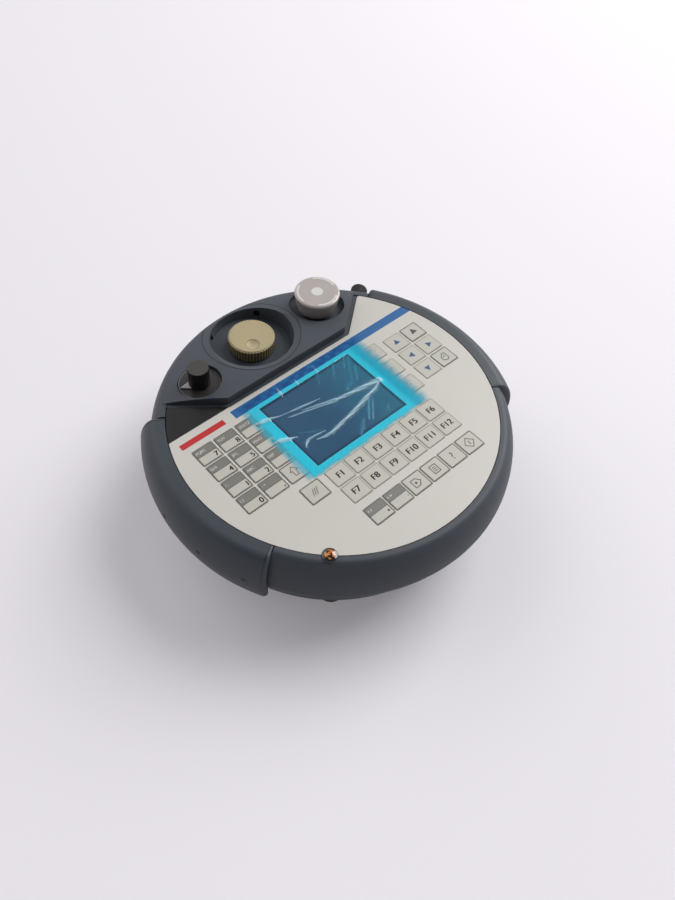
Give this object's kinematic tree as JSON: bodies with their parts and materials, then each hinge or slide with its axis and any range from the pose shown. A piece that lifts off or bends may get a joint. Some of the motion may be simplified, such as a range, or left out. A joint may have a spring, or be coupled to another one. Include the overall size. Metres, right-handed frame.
{
  "type": "teach pendant",
  "caption": "Round hand-held teach pendant: slate bowl housing with side grips, pale key panel with display, and a console with handwheel, override knob and stop button.",
  "frame": {"origin": "on the surface that the feet stand on, under the centre of the round face", "axes": "+Z out of the face, +Y from the face's centre to the console, +X to the right as the face is read"},
  "size_m": [0.268, 0.256, 0.0981],
  "materials": {
    "slate_abs": "satin moulded ABS",
    "slate_grip": "satin moulded ABS, fine texture",
    "panel_foil": "fine matt printed foil",
    "key_foil": "fine matt printed foil",
    "display_glass": "glossy",
    "board": "solder resist",
    "khaki_plastic": "satin",
    "black_plastic": "satin",
    "grey_plastic": "semi-gloss",
    "rubber": "matt",
    "steel": "zinc plated"
  },
  "bodies": {
    "housing": {"front_housing": "slate_abs", "rear_housing": "slate_abs", "left_grip": "slate_grip", "right_grip": "slate_grip", "face_plate": "panel_foil", "display_module": "display_glass", "keypad_board": "board", "handwheel_dish": "slate_abs", "handwheel_encoder": "black_plastic", "override_switch": "black_plastic", "stop_switch": "black_plastic", "cable_gland": "rubber", "housing_screws": "steel", "rubber_feet": "rubber"},
    "handwheel": {"handwheel": "khaki_plastic"},
    "override_knob": {"override_knob": "black_plastic"},
    "stop_plunger": {"stop_plunger": "grey_plastic"},
    "stop_cap": {"stop_cap": "grey_plastic"},
    "enabling_lever_left": {"enabling_lever_left": "grey_plastic"},
    "enabling_lever_right": {"enabling_lever_right": "grey_plastic"},
    "key_0": {"key_0": "key_foil"},
    "key_1": {"key_1": "key_foil"},
    "key_2": {"key_2": "key_foil"},
    "key_3": {"key_3": "key_foil"},
    "key_4": {"key_4": "key_foil"},
    "key_5": {"key_5": "key_foil"},
    "key_6": {"key_6": "key_foil"},
    "key_7": {"key_7": "key_foil"},
    "key_8": {"key_8": "key_foil"},
    "key_9": {"key_9": "key_foil"},
    "key_clear": {"key_clear": "key_foil"},
    "key_down": {"key_down": "key_foil"},
    "key_enter": {"key_enter": "key_foil"},
    "key_f1": {"key_f1": "key_foil"},
    "key_f10": {"key_f10": "key_foil"},
    "key_f11": {"key_f11": "key_foil"},
    "key_f12": {"key_f12": "key_foil"},
    "key_f2": {"key_f2": "key_foil"},
    "key_f3": {"key_f3": "key_foil"},
    "key_f4": {"key_f4": "key_foil"},
    "key_f5": {"key_f5": "key_foil"},
    "key_f6": {"key_f6": "key_foil"},
    "key_f7": {"key_f7": "key_foil"},
    "key_f8": {"key_f8": "key_foil"},
    "key_f9": {"key_f9": "key_foil"},
    "key_hand": {"key_hand": "key_foil"},
    "key_help": {"key_help": "key_foil"},
    "key_left": {"key_left": "key_foil"},
    "key_minus": {"key_minus": "key_foil"},
    "key_page": {"key_page": "key_foil"},
    "key_plus": {"key_plus": "key_foil"},
    "key_point": {"key_point": "key_foil"},
    "key_print": {"key_print": "key_foil"},
    "key_right": {"key_right": "key_foil"},
    "key_shift": {"key_shift": "key_foil"},
    "key_side_lower": {"key_side_lower": "key_foil"},
    "key_side_middle": {"key_side_middle": "key_foil"},
    "key_side_upper": {"key_side_upper": "key_foil"},
    "key_tag": {"key_tag": "key_foil"},
    "key_up": {"key_up": "key_foil"}
  },
  "joints": [
    {"name": "handwheel_turn", "type": "hinge", "parent": "housing", "child": "handwheel", "pos_m": [-0.0035, 0.0878, 0.08], "axis": [0, 0, 1], "continuous": true},
    {"name": "override_turn", "type": "hinge", "parent": "housing", "child": "override_knob", "pos_m": [-0.059, 0.075, 0.08], "axis": [0, 0, 1], "range_deg": [-209, 61]},
    {"name": "stop_press", "type": "slide", "parent": "housing", "child": "stop_plunger", "axis": [0, 0, -1], "range_m": [0, 0.004], "stiffness_N_per_m": 1500},
    {"name": "stop_release", "type": "hinge", "parent": "stop_plunger", "child": "stop_cap", "pos_m": [0.0553, 0.0829, 0.09], "axis": [0, 0, 1], "range_deg": [-30, 0], "stiffness_Nm_per_rad": 0.05},
    {"name": "enabling_left_press", "type": "slide", "parent": "housing", "child": "enabling_lever_left", "axis": [1, 0, 0], "range_m": [0, 0.004], "stiffness_N_per_m": 2500},
    {"name": "enabling_right_press", "type": "slide", "parent": "housing", "child": "enabling_lever_right", "axis": [-1, 0, 0], "range_m": [0, 0.004], "stiffness_N_per_m": 2500},
    {"name": "key_0_press", "type": "slide", "parent": "housing", "child": "key_0", "axis": [0, 0, -1], "range_m": [0, 0.0005], "stiffness_N_per_m": 2000},
    {"name": "key_1_press", "type": "slide", "parent": "housing", "child": "key_1", "axis": [0, 0, -1], "range_m": [0, 0.0005], "stiffness_N_per_m": 2000},
    {"name": "key_2_press", "type": "slide", "parent": "housing", "child": "key_2", "axis": [0, 0, -1], "range_m": [0, 0.0005], "stiffness_N_per_m": 2000},
    {"name": "key_3_press", "type": "slide", "parent": "housing", "child": "key_3", "axis": [0, 0, -1], "range_m": [0, 0.0005], "stiffness_N_per_m": 2000},
    {"name": "key_4_press", "type": "slide", "parent": "housing", "child": "key_4", "axis": [0, 0, -1], "range_m": [0, 0.0005], "stiffness_N_per_m": 2000},
    {"name": "key_5_press", "type": "slide", "parent": "housing", "child": "key_5", "axis": [0, 0, -1], "range_m": [0, 0.0005], "stiffness_N_per_m": 2000},
    {"name": "key_6_press", "type": "slide", "parent": "housing", "child": "key_6", "axis": [0, 0, -1], "range_m": [0, 0.0005], "stiffness_N_per_m": 2000},
    {"name": "key_7_press", "type": "slide", "parent": "housing", "child": "key_7", "axis": [0, 0, -1], "range_m": [0, 0.0005], "stiffness_N_per_m": 2000},
    {"name": "key_8_press", "type": "slide", "parent": "housing", "child": "key_8", "axis": [0, 0, -1], "range_m": [0, 0.0005], "stiffness_N_per_m": 2000},
    {"name": "key_9_press", "type": "slide", "parent": "housing", "child": "key_9", "axis": [0, 0, -1], "range_m": [0, 0.0005], "stiffness_N_per_m": 2000},
    {"name": "key_clear_press", "type": "slide", "parent": "housing", "child": "key_clear", "axis": [0, 0, -1], "range_m": [0, 0.0005], "stiffness_N_per_m": 2000},
    {"name": "key_down_press", "type": "slide", "parent": "housing", "child": "key_down", "axis": [0, 0, -1], "range_m": [0, 0.0005], "stiffness_N_per_m": 2000},
    {"name": "key_enter_press", "type": "slide", "parent": "housing", "child": "key_enter", "axis": [0, 0, -1], "range_m": [0, 0.0005], "stiffness_N_per_m": 2000},
    {"name": "key_f1_press", "type": "slide", "parent": "housing", "child": "key_f1", "axis": [0, 0, -1], "range_m": [0, 0.0005], "stiffness_N_per_m": 2000},
    {"name": "key_f10_press", "type": "slide", "parent": "housing", "child": "key_f10", "axis": [0, 0, -1], "range_m": [0, 0.0005], "stiffness_N_per_m": 2000},
    {"name": "key_f11_press", "type": "slide", "parent": "housing", "child": "key_f11", "axis": [0, 0, -1], "range_m": [0, 0.0005], "stiffness_N_per_m": 2000},
    {"name": "key_f12_press", "type": "slide", "parent": "housing", "child": "key_f12", "axis": [0, 0, -1], "range_m": [0, 0.0005], "stiffness_N_per_m": 2000},
    {"name": "key_f2_press", "type": "slide", "parent": "housing", "child": "key_f2", "axis": [0, 0, -1], "range_m": [0, 0.0005], "stiffness_N_per_m": 2000},
    {"name": "key_f3_press", "type": "slide", "parent": "housing", "child": "key_f3", "axis": [0, 0, -1], "range_m": [0, 0.0005], "stiffness_N_per_m": 2000},
    {"name": "key_f4_press", "type": "slide", "parent": "housing", "child": "key_f4", "axis": [0, 0, -1], "range_m": [0, 0.0005], "stiffness_N_per_m": 2000},
    {"name": "key_f5_press", "type": "slide", "parent": "housing", "child": "key_f5", "axis": [0, 0, -1], "range_m": [0, 0.0005], "stiffness_N_per_m": 2000},
    {"name": "key_f6_press", "type": "slide", "parent": "housing", "child": "key_f6", "axis": [0, 0, -1], "range_m": [0, 0.0005], "stiffness_N_per_m": 2000},
    {"name": "key_f7_press", "type": "slide", "parent": "housing", "child": "key_f7", "axis": [0, 0, -1], "range_m": [0, 0.0005], "stiffness_N_per_m": 2000},
    {"name": "key_f8_press", "type": "slide", "parent": "housing", "child": "key_f8", "axis": [0, 0, -1], "range_m": [0, 0.0005], "stiffness_N_per_m": 2000},
    {"name": "key_f9_press", "type": "slide", "parent": "housing", "child": "key_f9", "axis": [0, 0, -1], "range_m": [0, 0.0005], "stiffness_N_per_m": 2000},
    {"name": "key_hand_press", "type": "slide", "parent": "housing", "child": "key_hand", "axis": [0, 0, -1], "range_m": [0, 0.0005], "stiffness_N_per_m": 2000},
    {"name": "key_help_press", "type": "slide", "parent": "housing", "child": "key_help", "axis": [0, 0, -1], "range_m": [0, 0.0005], "stiffness_N_per_m": 2000},
    {"name": "key_left_press", "type": "slide", "parent": "housing", "child": "key_left", "axis": [0, 0, -1], "range_m": [0, 0.0005], "stiffness_N_per_m": 2000},
    {"name": "key_minus_press", "type": "slide", "parent": "housing", "child": "key_minus", "axis": [0, 0, -1], "range_m": [0, 0.0005], "stiffness_N_per_m": 2000},
    {"name": "key_page_press", "type": "slide", "parent": "housing", "child": "key_page", "axis": [0, 0, -1], "range_m": [0, 0.0005], "stiffness_N_per_m": 2000},
    {"name": "key_plus_press", "type": "slide", "parent": "housing", "child": "key_plus", "axis": [0, 0, -1], "range_m": [0, 0.0005], "stiffness_N_per_m": 2000},
    {"name": "key_point_press", "type": "slide", "parent": "housing", "child": "key_point", "axis": [0, 0, -1], "range_m": [0, 0.0005], "stiffness_N_per_m": 2000},
    {"name": "key_print_press", "type": "slide", "parent": "housing", "child": "key_print", "axis": [0, 0, -1], "range_m": [0, 0.0005], "stiffness_N_per_m": 2000},
    {"name": "key_right_press", "type": "slide", "parent": "housing", "child": "key_right", "axis": [0, 0, -1], "range_m": [0, 0.0005], "stiffness_N_per_m": 2000},
    {"name": "key_shift_press", "type": "slide", "parent": "housing", "child": "key_shift", "axis": [0, 0, -1], "range_m": [0, 0.0005], "stiffness_N_per_m": 2000},
    {"name": "key_side_lower_press", "type": "slide", "parent": "housing", "child": "key_side_lower", "axis": [0, 0, -1], "range_m": [0, 0.0005], "stiffness_N_per_m": 2000},
    {"name": "key_side_middle_press", "type": "slide", "parent": "housing", "child": "key_side_middle", "axis": [0, 0, -1], "range_m": [0, 0.0005], "stiffness_N_per_m": 2000},
    {"name": "key_side_upper_press", "type": "slide", "parent": "housing", "child": "key_side_upper", "axis": [0, 0, -1], "range_m": [0, 0.0005], "stiffness_N_per_m": 2000},
    {"name": "key_tag_press", "type": "slide", "parent": "housing", "child": "key_tag", "axis": [0, 0, -1], "range_m": [0, 0.0005], "stiffness_N_per_m": 2000},
    {"name": "key_up_press", "type": "slide", "parent": "housing", "child": "key_up", "axis": [0, 0, -1], "range_m": [0, 0.0005], "stiffness_N_per_m": 2000}
  ]
}
